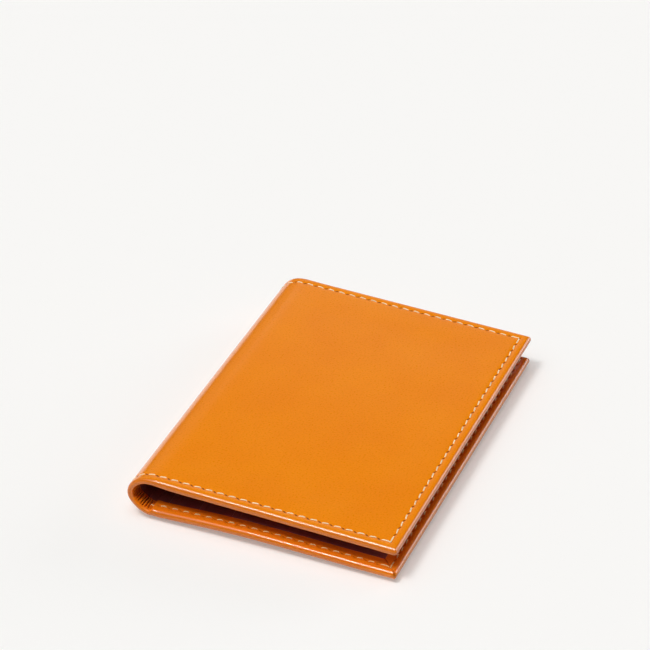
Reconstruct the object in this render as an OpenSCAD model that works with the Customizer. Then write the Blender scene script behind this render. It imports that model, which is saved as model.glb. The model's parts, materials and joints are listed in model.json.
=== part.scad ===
// Bifold wallet in smooth leather, closed and lying on its back cover.
// Two stiffened covers with turned and stitched edges are joined by a soft spine, which is divided
// into strips at its bend lines, half of them on each cover's side of the spine's middle.
// Both covers carry a slip pocket and two card pockets inside.
// The fold is on the -X side, the opening on the +X side and +Z points up. All sizes are in mm.

/* [Overall] */
// Height of the wallet, along the fold
wallet_h = 100; // [80:0.5:125]
// Width of the closed wallet, from the fold to the opening
wallet_w = 72.5; // [58:0.5:95]
// Thickness of the closed wallet at the fold
fold_t = 11.8; // [9.6:0.1:16]
// Gap left between the two stacks of pockets when the wallet is closed
rest_gap = 0.35; // [0.3:0.05:1.5]

/* [Layers of a cover] */
// Thickness of the outer leather
cover_t = 0.7; // [0.5:0.05:1.2]
// Thickness of the stiffening board
board_t = 0.3; // [0.2:0.05:0.8]
// Thickness of the lining
lining_t = 0.3; // [0.2:0.05:0.6]
// Room inside the slip pocket, for folded paper
slip_gap = 0.2; // [0.15:0.05:0.6]
// Thickness of the slip pocket's panel
slip_t = 0.3; // [0.2:0.05:0.6]
// Thickness of the leather turned in over the layers
lip_t = 0.5; // [0.4:0.05:1]
// Room for one card in a card pocket
card_gap = 1.05; // [0.8:0.05:1.3]
// Thickness of a card pocket's leather
pocket_t = 0.4; // [0.2:0.05:0.6]

/* [Turned edge] */
// Width of the leather turned in over the inside
hem_w = 4.6; // [3.5:0.1:7]
// Leather between a cover's edge and the layers inside it
edge_wall = 1.8; // [1.5:0.1:2.5]
// Clearance between the layers and the turned edge
layer_clear = 0.1; // [0.05:0.05:0.3]
// Width of the slit at a mitred corner
mitre_gap = 0.1; // [0.05:0.05:0.3]
// Start of the turned edge of a cover, from the fold's tangent line
hem_start = 0.4; // [0.2:0.1:2]

/* [Pockets] */
// Width of the sewn-down side of a card pocket
pocket_side = 1.4; // [1:0.1:3]
// Slip pocket's mouth, from the fold's tangent line
slip_mouth = 3.5; // [1:0.5:8]
// Mouth of the lower card pocket, from the fold's tangent line
lower_mouth = 12; // [8:0.5:20]
// Mouth of the upper card pocket, from the fold's tangent line
upper_mouth = 21; // [14:0.5:32]

/* [Seam] */
// Distance of the seam from the edge
seam_in = 2.6; // [2.2:0.1:3.2]
// Distance from one stitch to the next
stitch_pitch = 3.05; // [2.6:0.05:5]
// Length of a stitch
stitch_l = 1.9; // [1.2:0.1:2.2]
// Width of the thread
thread_w = 0.45; // [0.3:0.05:0.6]
// Thickness of the thread, lying flush in its groove
thread_t = 0.25; // [0.15:0.05:0.35]
// Clearance of the groove on each side of the thread
groove_clear = 0.18; // [0.16:0.02:0.3]
// Slant of a stitch to the line of the seam, in degrees
stitch_slant = 8; // [0:1:9]

/* [Spine] */
// Number of bend lines between a cover and the middle of the spine
side_bends = 3; // [2:1:4]
// Slit between one strip of the spine and the next
strip_gap = 0.1; // [0.05:0.05:0.3]
// Thickness of the lining in the spine
spine_lining_t = 0.4; // [0.2:0.05:0.6]

/* [Hidden] */
fold_r = fold_t / 2;
panel_l = wallet_w - fold_r;
side_h = wallet_h / 2;
z_lining = cover_t + board_t;
z_slip_gap = z_lining + lining_t;
z_slip = z_slip_gap + slip_gap;
z_lip = z_slip + slip_t;
edge_t = z_lip + lip_t;
edge_r = edge_t / 2;
pocket_step = card_gap + pocket_t;
stack_t = z_lip + 2 * pocket_step;
layer_in = edge_wall + layer_clear;
pocket_in = hem_w + layer_clear;
groove_w = thread_w + 2 * groove_clear;
spine_hem_z = cover_t + spine_lining_t;
spine_edge_t = spine_hem_z + lip_t;
spine_edge_r = spine_edge_t / 2;
// The front cover slopes until the far ends of the two stacks are the rest gap apart.
stack_end = panel_l - pocket_in;
stack_drop = fold_r - stack_t;
cover_tilt = acos((stack_t + rest_gap - fold_r) / norm([stack_drop, stack_end]))
           - atan2(stack_end, stack_drop);
fold_angle = 180 + cover_tilt;
bend = fold_angle / (2 * side_bends);
gap_angle = strip_gap / 2 / fold_r * 180 / PI;
stitch_angle = stitch_l / fold_r * 180 / PI;
front_x = fold_r + (panel_l - edge_r) * cos(cover_tilt) + (fold_r - edge_r) * sin(cover_tilt) + edge_r;
overall_w = max(wallet_w, front_x);
eps = 1;
tan_leather = [0.92, 0.52, 0.10];
brown_leather = [0.30, 0.14, 0.12];
brown_lining = [0.40, 0.20, 0.17];
grey_board = [0.55, 0.52, 0.47];
cream_thread = [0.94, 0.88, 0.70];
$fn = 96;

STRIPS = [for (k = [1 : side_bends]) k];
SEWN_STRIPS = [for (k = [1 : side_bends - 1]) k];
HALF_NODES = ["cover", "spine_edge", "turned_edge", "board", "lining", "slip_pocket",
              "slip_pocket_sides", "lower_card_pocket", "lower_card_pocket_sides",
              "upper_card_pocket", "upper_card_pocket_sides", "outer_thread", "inner_thread"];
SIDES = ["back", "front"];

// Places a cover that is drawn with its outer face at z = 0 and the fold's tangent line at x = 0.
module on_side(side) {
    if (side == "back") {
        translate([fold_r - overall_w / 2, 0, 0])
            children();
    } else {
        translate([fold_r - overall_w / 2, 0, fold_r])
            rotate([0, cover_tilt, 0])
                mirror([0, 0, 1])
                    translate([0, 0, -fold_r])
                        children();
    }
}

// Sweeps a profile of radius and height about the fold's centre line, from angle a to angle b.
module on_fold(a, b) {
    translate([0, 0, fold_r])
        rotate([-90, 90, 0])
            rotate([0, 0, a])
                rotate_extrude(angle = b - a)
                    children();
}

// Part of a cover's full-round edge between two heights, outwards from its flat middle.
module rim_profile(z0, z1) {
    intersection() {
        translate([0, edge_r])
            circle(edge_r);
        translate([0, z0])
            square([edge_r, z1 - z0]);
    }
}

// Slice of a cover between two heights, with full-round edges on three sides.
module edge_slab(z0, z1) {
    flat_h = side_h - edge_r;
    flat_l = panel_l - edge_r;
    translate([0, -flat_h, z0])
        cube([flat_l, 2 * flat_h, z1 - z0]);
    translate([flat_l, flat_h, 0])
        rotate([90, 0, 0])
            linear_extrude(2 * flat_h)
                rim_profile(z0, z1);
    for (s = [0, 1]) {
        mirror([0, s, 0])
            translate([0, flat_h, 0]) {
                rotate([90, 0, 90])
                    linear_extrude(flat_l)
                        rim_profile(z0, z1);
                translate([flat_l, 0, 0])
                    rotate_extrude(angle = 90)
                        rim_profile(z0, z1);
            }
    }
}

// Flat layer from a start line to a distance inside the three edges.
module layer(start, inset, z, t) {
    translate([start, inset - side_h, z])
        cube([panel_l - inset - start, wallet_h - 2 * inset, t]);
}

// Three strips along the edges, between two distances from the edge.
module side_strips(start, from, to, z, t) {
    for (s = [0, 1]) {
        mirror([0, s, 0])
            translate([start, side_h - to, z])
                cube([panel_l - to - start, to - from, t]);
    }
    translate([panel_l - to + mitre_gap, from - side_h, z])
        cube([to - from - mitre_gap, wallet_h - 2 * from, t]);
}

// One stitch, slanted to its seam, lying along X.
module stitch(z) {
    rotate([0, 0, stitch_slant])
        translate([-stitch_l / 2, -thread_w / 2, z])
            cube([stitch_l, thread_w, thread_t]);
}

// Stitches along the three sewn edges of a cover.
module stitch_rows(start, z) {
    run_x = panel_l - seam_in - start;
    run_y = wallet_h - 2 * seam_in;
    count_x = floor(run_x / stitch_pitch);
    count_y = floor(run_y / stitch_pitch);
    for (s = [0, 1], i = [0 : count_x - 1]) {
        mirror([0, s, 0])
            translate([panel_l - seam_in - (i + 0.5) * run_x / count_x, side_h - seam_in, 0])
                stitch(z);
    }
    for (i = [0 : count_y - 1]) {
        translate([panel_l - seam_in, seam_in - side_h + (i + 0.5) * run_y / count_y, 0])
            rotate([0, 0, 90])
                stitch(z);
    }
}

// Groove that the stitches lie in, cut down from or up into a face at height z.
module stitch_groove(z0, z1) {
    for (s = [0, 1]) {
        mirror([0, s, 0])
            translate([-eps, side_h - seam_in - groove_w / 2, z0])
                cube([panel_l - seam_in + groove_w / 2 + eps, groove_w, z1 - z0]);
    }
    translate([panel_l - seam_in - groove_w / 2, seam_in - side_h, z0])
        cube([groove_w, wallet_h - 2 * seam_in, z1 - z0]);
}

// Section of the spine's leather: a sheet whose ends are turned in over the lining.
module spine_profile() {
    end_h = side_h - spine_edge_r;
    difference() {
        union() {
            translate([fold_r - spine_edge_t, -end_h])
                square([spine_edge_t, 2 * end_h]);
            for (s = [-1, 1]) {
                translate([fold_r - spine_edge_r, s * end_h])
                    circle(spine_edge_r);
            }
        }
        translate([fold_r - spine_edge_t - eps, hem_w - side_h])
            square([lip_t + spine_lining_t + eps, wallet_h - 2 * hem_w]);
        translate([fold_r - spine_hem_z, edge_wall - side_h])
            square([spine_lining_t, wallet_h - 2 * edge_wall]);
        for (s = [-1, 1]) {
            translate([fold_r - thread_t, s * (side_h - seam_in) - groove_w / 2])
                square([thread_t + eps, groove_w]);
        }
    }
}

// Section of the spine's lining.
module spine_lining_profile() {
    translate([fold_r - spine_hem_z, layer_in - side_h])
        square([spine_lining_t, wallet_h - 2 * layer_in]);
}

// Outer leather of a cover.
module cover() {
    color(tan_leather)
        difference() {
            edge_slab(0, cover_t);
            stitch_groove(-eps, thread_t);
        }
}

// The cover's share of the spine's leather, from its flat to the first bend line.
module spine_edge() {
    color(tan_leather)
        on_fold(0, bend / 2 - gap_angle)
            spine_profile();
}

// Outer leather turned in over the layers, in three strips mitred at the corners.
module turned_edge() {
    color(tan_leather)
        difference() {
            edge_slab(cover_t, edge_t);
            translate([-eps, hem_w - side_h, cover_t - eps])
                cube([panel_l - hem_w + eps, wallet_h - 2 * hem_w, edge_t + eps]);
            translate([-eps, edge_wall - side_h, cover_t - eps])
                cube([panel_l - edge_wall + eps, wallet_h - 2 * edge_wall, z_lip - cover_t + eps]);
            translate([-eps, -side_h - eps, -eps])
                cube([hem_start + eps, wallet_h + 2 * eps, edge_t + 2 * eps]);
            for (s = [-1, 1]) {
                translate([panel_l - hem_w / 2, s * (side_h - hem_w / 2), edge_r])
                    rotate([0, 0, s * 45])
                        cube([3 * hem_w, mitre_gap, 2 * edge_t], center = true);
            }
            stitch_groove(edge_t - thread_t, edge_t + eps);
        }
}

// Board that stiffens a cover.
module board() {
    color(grey_board)
        layer(hem_start + 1, layer_in, cover_t, board_t);
}

// Lining over the board, and its share of the fold.
module lining() {
    color(brown_lining) {
        layer(hem_start, layer_in, z_lining, lining_t);
        on_fold(0, bend / 2 - gap_angle)
            spine_lining_profile();
    }
}

// Panel of the slip pocket, open towards the fold.
module slip_pocket() {
    color(brown_leather)
        layer(slip_mouth, layer_in, z_slip, slip_t);
}

// Sewn-down sides of the slip pocket.
module slip_pocket_sides() {
    color(brown_leather)
        side_strips(slip_mouth, layer_in, hem_w, z_slip_gap, slip_gap);
}

// Leather of the lower card pocket, open towards the fold.
module lower_card_pocket() {
    color(brown_leather)
        layer(lower_mouth, pocket_in, z_lip + card_gap, pocket_t);
}

// Sewn-down sides of the lower card pocket.
module lower_card_pocket_sides() {
    color(brown_leather)
        side_strips(lower_mouth, pocket_in, pocket_in + pocket_side, z_lip, card_gap);
}

// Leather of the upper card pocket, open towards the fold.
module upper_card_pocket() {
    color(brown_leather)
        layer(upper_mouth, pocket_in, z_lip + pocket_step + card_gap, pocket_t);
}

// Sewn-down sides of the upper card pocket.
module upper_card_pocket_sides() {
    color(brown_leather)
        side_strips(upper_mouth, pocket_in, pocket_in + pocket_side, z_lip + pocket_step, card_gap);
}

// Stitches on the outside of a cover.
module outer_thread() {
    color(cream_thread)
        stitch_rows(0, 0);
}

// Stitches on the leather turned in, on the inside of a cover.
module inner_thread() {
    color(cream_thread)
        stitch_rows(hem_start, edge_t - thread_t);
}

// Sweeps a profile over strip k of the spine, up to the next bend line or the spine's middle.
module on_strip(k) {
    on_fold((k - 0.5) * bend + gap_angle, min((k + 0.5) * bend, fold_angle / 2) - gap_angle)
        children();
}

// One strip of the spine's leather.
module spine_leather(k) {
    color(tan_leather)
        on_strip(k)
            spine_profile();
}

// One strip of the spine's lining.
module spine_lining(k) {
    color(brown_lining)
        on_strip(k)
            spine_lining_profile();
}

// The two stitches across one strip of the spine.
module spine_thread(k) {
    color(cream_thread)
        for (s = [-1, 1]) {
            on_fold(k * bend - stitch_angle / 2, k * bend + stitch_angle / 2)
                translate([fold_r - thread_t, s * (side_h - seam_in) - thread_w / 2])
                    square([thread_t, thread_w]);
        }
}

for (side = SIDES) {
    on_side(side) cover();
    on_side(side) spine_edge();
    on_side(side) turned_edge();
    on_side(side) board();
    on_side(side) lining();
    on_side(side) slip_pocket();
    on_side(side) slip_pocket_sides();
    on_side(side) lower_card_pocket();
    on_side(side) lower_card_pocket_sides();
    on_side(side) upper_card_pocket();
    on_side(side) upper_card_pocket_sides();
    on_side(side) outer_thread();
    on_side(side) inner_thread();
    for (k = STRIPS) {
        on_side(side) spine_leather(k);
        on_side(side) spine_lining(k);
    }
    for (k = SEWN_STRIPS) {
        on_side(side) spine_thread(k);
    }
}
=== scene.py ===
import json
import math

import bmesh
import bpy
import numpy as np
from bpy.props import FloatProperty, FloatVectorProperty, PointerProperty
from bpy.types import Operator, Panel, PropertyGroup
from mathutils import Color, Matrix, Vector


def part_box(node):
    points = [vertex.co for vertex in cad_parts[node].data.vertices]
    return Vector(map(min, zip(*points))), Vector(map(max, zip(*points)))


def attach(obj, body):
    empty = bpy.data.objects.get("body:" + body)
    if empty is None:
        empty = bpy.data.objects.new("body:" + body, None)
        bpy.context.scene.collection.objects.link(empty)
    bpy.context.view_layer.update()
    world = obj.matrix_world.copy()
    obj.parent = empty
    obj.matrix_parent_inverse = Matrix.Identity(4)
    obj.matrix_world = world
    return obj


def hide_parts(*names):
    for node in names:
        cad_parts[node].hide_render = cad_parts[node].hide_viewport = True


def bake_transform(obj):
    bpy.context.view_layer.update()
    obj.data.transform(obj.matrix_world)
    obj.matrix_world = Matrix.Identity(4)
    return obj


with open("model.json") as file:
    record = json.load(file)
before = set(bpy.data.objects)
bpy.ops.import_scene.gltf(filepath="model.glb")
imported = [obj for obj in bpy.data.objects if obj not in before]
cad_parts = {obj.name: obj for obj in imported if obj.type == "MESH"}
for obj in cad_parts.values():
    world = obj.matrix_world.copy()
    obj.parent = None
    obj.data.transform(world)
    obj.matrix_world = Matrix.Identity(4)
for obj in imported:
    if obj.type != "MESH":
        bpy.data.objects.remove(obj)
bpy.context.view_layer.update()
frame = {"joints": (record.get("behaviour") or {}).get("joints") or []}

bl_info = {
    "name": "Bifold wallet",
    "version": (1, 0, 0),
    "blender": (4, 5, 0),
    "location": "3D View > Sidebar > Wallet",
    "description": "Tan leather wallet with turned, stitched edges and card pockets",
    "category": "Object",
}

MM = 0.001
SIDES = ("back", "front")

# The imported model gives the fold's place and radius, the covers' size and the bends of the spine.
JOINTS = {joint["name"]: joint for joint in frame["joints"]}
SIDE_BENDS = sum(name.startswith("back_bend") for name in JOINTS)
FOLD_ANGLE = math.radians(JOINTS["fold"]["range_deg"][1])
TILT = FOLD_ANGLE - math.pi
BEND = FOLD_ANGLE / (2 * SIDE_BENDS)
COVER_LOW, COVER_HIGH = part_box("back_cover")
TANGENT_X = COVER_LOW.x
COVER_L = COVER_HIGH.x - COVER_LOW.x
HALF_H = COVER_HIGH.y
FOLD_R = (TANGENT_X - JOINTS["back_bend_1"]["pos_m"][0]) / math.sin(BEND / 2)
SPINE_S = FOLD_R * FOLD_ANGLE / 2
PITCH = FOLD_R * BEND

# Length over which each cover's leather eases into the spine, and how the back cover is warped.
EASE = {"back": 4.5 * MM, "front": 3.2 * MM}
BOW = 0.8 * MM
BOW_SKEW = 0.75
CORNER_LIFT = 0.4 * MM
LIFT_CURVE = 1.5


def linear(code):
    """Linear RGB of an sRGB hex colour."""
    values = [int(code[i:i + 2], 16) / 255 for i in (1, 3, 5)]
    return tuple(v / 12.92 if v <= 0.04045 else ((v + 0.055) / 1.055) ** 2.4 for v in values)


def length(name, description, millimetres):
    """Length property whose default is given in millimetres."""
    return FloatProperty(name=name, description=description, default=millimetres * MM, unit="LENGTH")


def colour(name, description, code):
    """Colour property whose default is an sRGB hex value."""
    return FloatVectorProperty(name=name, description=description, default=linear(code),
                               subtype="COLOR", min=0, max=1)


class WalletSizes(PropertyGroup):
    """Sizes of the leather, the seams and the pockets."""

    edge_t: length("Edge thickness", "Thickness of a cover at its turned edge", 2.3)
    spine_t: length("Spine edge", "Thickness of the turned edge where it crosses the spine", 1.6)
    leather_t: length("Leather", "Thickness of the outer leather", 0.7)
    lip_t: length("Turned leather", "Thickness of the leather turned in", 0.5)
    hem_w: length("Hem", "Width of the leather turned in", 4.6)
    core_in: length("Edge wall", "Leather between the edge and the layers inside", 1.8)
    seam_in: length("Seam inset", "Distance of the seam from the edge", 2.6)
    stitch_l: length("Outer stitch", "Length of a stitch on the outside", 2.0)
    hem_stitch_l: length("Hem stitch", "Length of a stitch on the hem", 1.75)
    thread_d: length("Thread", "Width of the sewing thread", 0.34)
    lining_t: length("Lining", "Thickness of the lining", 0.3)
    panel_t: length("Slip pocket", "Thickness of the slip pocket's panel", 0.3)
    pocket_t: length("Card pocket", "Thickness of a card pocket's leather", 0.4)
    slip_mouth: length("Slip mouth", "Slip pocket's mouth, from the fold", 3.5)
    lower_mouth: length("Lower mouth", "Lower card pocket's mouth, from the fold", 12)
    upper_mouth: length("Upper mouth", "Upper card pocket's mouth, from the fold", 21)
    stitch_slant: FloatProperty(name="Stitch slant", description="Turn of a stitch against its seam",
                                default=math.radians(8), subtype="ANGLE")


class WalletColours(PropertyGroup):
    """Colours of the wallet's materials and of the floor."""

    tan: colour("Tan leather", "Glazed calf of the covers", "#F18905")
    tan_deep: colour("Deep tan", "Cloudier parts of the glazed calf", "#EE8402")
    # Painted shade: a redder tint for the turned-in leather, for the red light bounced between the two
    # covers.
    hem: colour("Turned leather", "Leather turned in along the edges", "#EE7B10")
    # Partly real burnish from polishing, partly painted shade on the rim's face, which turns away from the
    # light.
    burnish_and_rim_shade: colour("Burnished edge", "Turned edge, darker from polishing", "#C4620F")
    # Painted shade: the dark colour towards which needle holes, the spine's gathers and the mitre slits are
    # darkened.
    needle: colour("Needle hole", "Leather inside a needle hole", "#843A0C")
    pocket: colour("Pocket leather", "Brown calf of the pockets", "#8A494A")
    pocket_deep: colour("Deep pocket", "Cloudier parts of the brown calf", "#763B3D")
    lining: colour("Lining", "Lambskin lining", "#884A48")
    thread: colour("Thread", "Waxed polyester thread of the outer stitches", "#FFEDC2")
    # Partly a bobbin thread of its own, partly painted warm light: yellower for the hem stitches, which lie
    # in the covers' shade.
    bobbin: colour("Bobbin thread", "Waxed polyester thread of the stitches on the hem", "#FDDA96")
    floor: colour("Floor", "Studio floor", "#F7F6F4")


def ramp(x, low, high):
    """Smooth step from 0 at low to 1 at high."""
    t = np.clip((x - low) / (high - low), 0, 1)
    return t * t * (3 - 2 * t)


def bell(x, width):
    """Bell curve, 1 at 0, that fades over a width."""
    return np.exp(-(x / width) ** 2)


def sway(x, turn):
    """Smooth uneven wave between about -1 and 1, for leather that isn't quite straight."""
    waves = np.sin(x + turn) + 0.6 * np.sin(2.3 * x + 2.1 * turn) + 0.4 * np.sin(4.1 * x + 0.7 * turn)
    return waves / 2


def ease(side, s):
    """How far the leather lies inside the plain arc, so that its curve grows slowly from flat to round."""
    reach = EASE[side]
    on_flat = np.clip(reach - s, 0, reach) ** 3 / 12
    t = np.clip(s, -reach, 0)
    on_arc = reach ** 3 / 12 - reach ** 2 * t / 4 - reach * t ** 2 / 4 - t ** 3 / 12
    back_out = 1 - ramp(-s, reach, SPINE_S)
    return np.where(s > 0, on_flat, on_arc * back_out) / (reach * FOLD_R)


def warp(z, s, v):
    """Height on the back cover, which arches between the fold and its opening edge and lifts towards the far
    corner of that edge."""
    out = np.clip(s / COVER_L, 0, 1)
    arch = BOW * np.sin(math.pi * out ** BOW_SKEW) ** 2
    return z + arch + CORNER_LIFT * out ** LIFT_CURVE * np.clip(0.5 + v / (2 * HALF_H), 0, 1)


def place(side, s, v, w):
    """Row-frame points at s from the fold's tangent line, v along the fold, w in from the outer face.
    Where s is below 0 the point lies on the spine."""
    turn = np.maximum(-s, 0) / FOLD_R
    w = w + ease(side, s)
    u = np.maximum(s, 0) - (FOLD_R - w) * np.sin(turn)
    h = (FOLD_R - w) * np.cos(turn)
    if side == "back":
        return np.stack([TANGENT_X + u, v, warp(FOLD_R - h, s, v)], -1)
    x = u * math.cos(TILT) + h * math.sin(TILT)
    z = FOLD_R - u * math.sin(TILT) + h * math.cos(TILT)
    return np.stack([TANGENT_X + x, v, z], -1)


# Outer leather: a sheet wrapped round both covers and the spine, and turned in on three sides. Its points lie
# at these insets from the edge, on the outer face and on the hem, and at stations along the edge.
OUTER_IN = np.array([5.2, 4.5, 3.9, 3.55, 3.3, 3.1, 2.9, 2.75, 2.6, 2.45, 2.3, 2.1, 1.9]) * MM
HEM_IN = np.array([1.9, 2.1, 2.3, 2.45, 2.6, 2.75, 2.9, 3.1, 3.35, 3.7, 4.05, 4.35]) * MM
FLAT_IN = OUTER_IN[0]
RIM_STEPS = 16
CORNER_R = 0.55 * MM
CORNER_STEPS = 7
STATION = 0.39 * MM
SPINE_STATIONS = 28
NEAR_CORNER = np.array([0.42, 0.24, 0.12, 0.05]) * MM
CORNER_CLEAR = 0.5 * MM
# Rounding of the hem's cut edge: inset past the hem's width, and depth below its face.
CUT_EDGE = ((-0.1 * MM, 0.02 * MM), (0, 0.12 * MM), (0.02 * MM, 0.4 * MM))
# Where the turned edge grows thicker beside the spine, measured from the fold's tangent line.
STEP_S = 0.5 * MM
HEM_STEP = {"back": (0, STEP_S + 0.4 * MM), "front": (-3 * MM, 7 * MM)}
# How much closer to the edge the back cover's seam runs, away from the spine and along the opening edge.
SEAM_SHIFT = 0.3 * MM
SEAM_SHIFT_OVER = (2 * MM, 20 * MM)
OPEN_SHIFT = 0.22 * MM
OPEN_SHIFT_OVER = (10 * MM, 5.5 * MM)


def edge_profile(sizes, thick):
    """Section of the turned edge at each station: inset, depth and outward direction, from the outer
    face over the rim to the hem, its cut edge and the inside of the leather."""
    thick = thick[:, None]
    ones = np.ones_like(thick)
    rim = thick / 2
    angle = np.linspace(0, math.pi, RIM_STEPS)
    middle = (HEM_IN[0] + rim) / 2
    cut = sizes.hem_w
    sections = [(OUTER_IN, 0, 0, -1), (middle, 0, 0, -1),
                (rim * (1 - np.sin(angle)), rim * (1 - np.cos(angle)), -np.sin(angle), -np.cos(angle)),
                (middle, thick, 0, 1), (HEM_IN, thick, 0, 1)]
    lip = thick - sizes.lip_t
    ends = [(cut + past, thick - below) for past, below in CUT_EDGE]
    ends += [(cut, lip), (sizes.core_in, lip), (sizes.core_in, sizes.leather_t), (FLAT_IN, sizes.leather_t)]
    sections += [(inset, depth, 0, 0) for inset, depth in ends]
    columns = [np.broadcast_arrays(*(ones * value for value in section)) for section in sections]
    return [np.concatenate(values, 1) for values in zip(*columns)]


def stations(start, end, both_ends):
    """Places along an edge, closer together beside the mitred corner at its end, or at both ends."""
    inner = np.linspace(start, end, round((end - start) / STATION) + 1)[1:-1]
    inner = inner[inner < end - CORNER_CLEAR]
    first = []
    if both_ends:
        inner = inner[inner > start + CORNER_CLEAR]
        first = start + NEAR_CORNER[::-1]
    return np.concatenate([[start], first, inner, end - NEAR_CORNER, [end]])


class Edge:
    """One edge of the leather: its stations, and where an inset puts them on the cover."""

    def __init__(self, kind, base, thick, pitch=PITCH):
        self.kind = kind
        self.crosses_spine = kind in ("front", "back")
        self.base = base
        self.thick = thick + 0 * base
        self.pitch = pitch

    def stitch(self, s, v):
        """Stitches counted along the seam, with a needle hole halfway between two."""
        if self.kind == "open":
            return v / self.pitch
        return s / self.pitch if self.crosses_spine else 0.5 + 0 * s

    def spot(self, d):
        """(s, v) on the cover of every station at inset d."""
        base = self.base[:, None]
        last = self.base.max()
        sign = -1 if "front" in self.kind else 1
        excess = np.maximum(d - CORNER_R, 0)
        reach = np.maximum(CORNER_R - d, 0)
        if self.crosses_spine:
            share = np.clip((base - COVER_L / 2) / (last - COVER_L / 2), 0, 1)
            s, v = base - excess * share, sign * (HALF_H - d)
        elif self.kind == "open":
            share = np.clip((abs(base) - HALF_H / 2) / (last - HALF_H / 2), 0, 1)
            s, v = COVER_L - d, base - np.sign(base) * excess * share
        else:
            s = COVER_L - CORNER_R - excess + reach * np.sin(base)
            v = sign * (HALF_H - CORNER_R - excess + reach * np.cos(base))
        return np.broadcast_arrays(s, v)

    def from_mitre(self, d):
        """Distance of every point from the nearest mitre line."""
        if "corner" in self.kind:
            return np.maximum(CORNER_R - d, 0) * abs(self.base[:, None] - math.pi / 4)
        along = abs(self.base) if self.kind == "open" else self.base
        return self.base.max() - along[:, None] + 0 * d


def hem_thickness(side, sizes, s):
    """Thickness of the turned edge: a step beside the spine on the back cover, and a long slope on the
    front one."""
    return sizes.spine_t + (sizes.edge_t - sizes.spine_t) * ramp(s, *HEM_STEP[side])


def seam_inset(side, sizes, s):
    """Distance of the seam from the edge. The back cover's seam runs a little closer to it away from the
    spine, and closest along the opening edge."""
    if side == "front":
        return sizes.seam_in + 0 * s
    closer = SEAM_SHIFT * ramp(s, *SEAM_SHIFT_OVER)
    return sizes.seam_in - closer - OPEN_SHIFT * ramp(COVER_L - s, *OPEN_SHIFT_OVER)


def open_pitch(side, sizes):
    """Stitch pitch along the opening edge, an odd number of whole stitches from corner to corner."""
    run = 2 * (HALF_H - seam_inset(side, sizes, COVER_L))
    return run / (2 * round((run / PITCH - 1) / 2) + 1)


def make_edges(side, sizes):
    """The five edges of one cover, from the spine's middle round to the spine's middle again."""
    spine = np.linspace(-SPINE_S, 0, SIDE_BENDS * SPINE_STATIONS + 1)
    s = np.concatenate([spine, stations(0, COVER_L - CORNER_R, False)[1:]])
    v = stations(CORNER_R - HALF_H, HALF_H - CORNER_R, True)
    corner = np.linspace(0, math.pi / 2, CORNER_STEPS)
    hem = hem_thickness(side, sizes, s)
    return [Edge("front", s, hem),
            Edge("front_corner", corner, sizes.edge_t),
            Edge("open", v, sizes.edge_t, open_pitch(side, sizes)),
            Edge("back_corner", corner, sizes.edge_t),
            Edge("back", s, hem)]


# Dents: the seam's channel and needle holes on both faces, soft waves, the mitres with the hem raised beside
# them, and the gathers in the spine.
CHANNEL = {"back": 0.3 * MM, "front": 0.07 * MM}
CHANNEL_W = 0.5 * MM
HEM_CHANNEL = 0.07 * MM
SLOT_TURN = math.radians(-28)
SLOT_L = 0.5 * MM
SLOT_W = 0.25 * MM
SLOT_DEPTH = 0.13 * MM
HEM_SLOT_DEPTH = 0.16 * MM
ROLL = 0.035 * MM
ROLL_RUN = 5 * MM
RIPPLE = 0.04 * MM
RIPPLE_RUN = 2.4 * MM
MITRE_W = 0.13 * MM
MITRE_DEPTH = 0.3 * MM
MITRE_RISE = 0.16 * MM
MITRE_RISE_W = 0.7 * MM
GATHER_RUN = 1.05 * MM
GATHER_SHARP = 2.2
GATHER_DEPTH = 0.55 * MM
GATHER_RISE = 0.15 * MM
GATHER_FADE = 1.2 * MM


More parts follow.
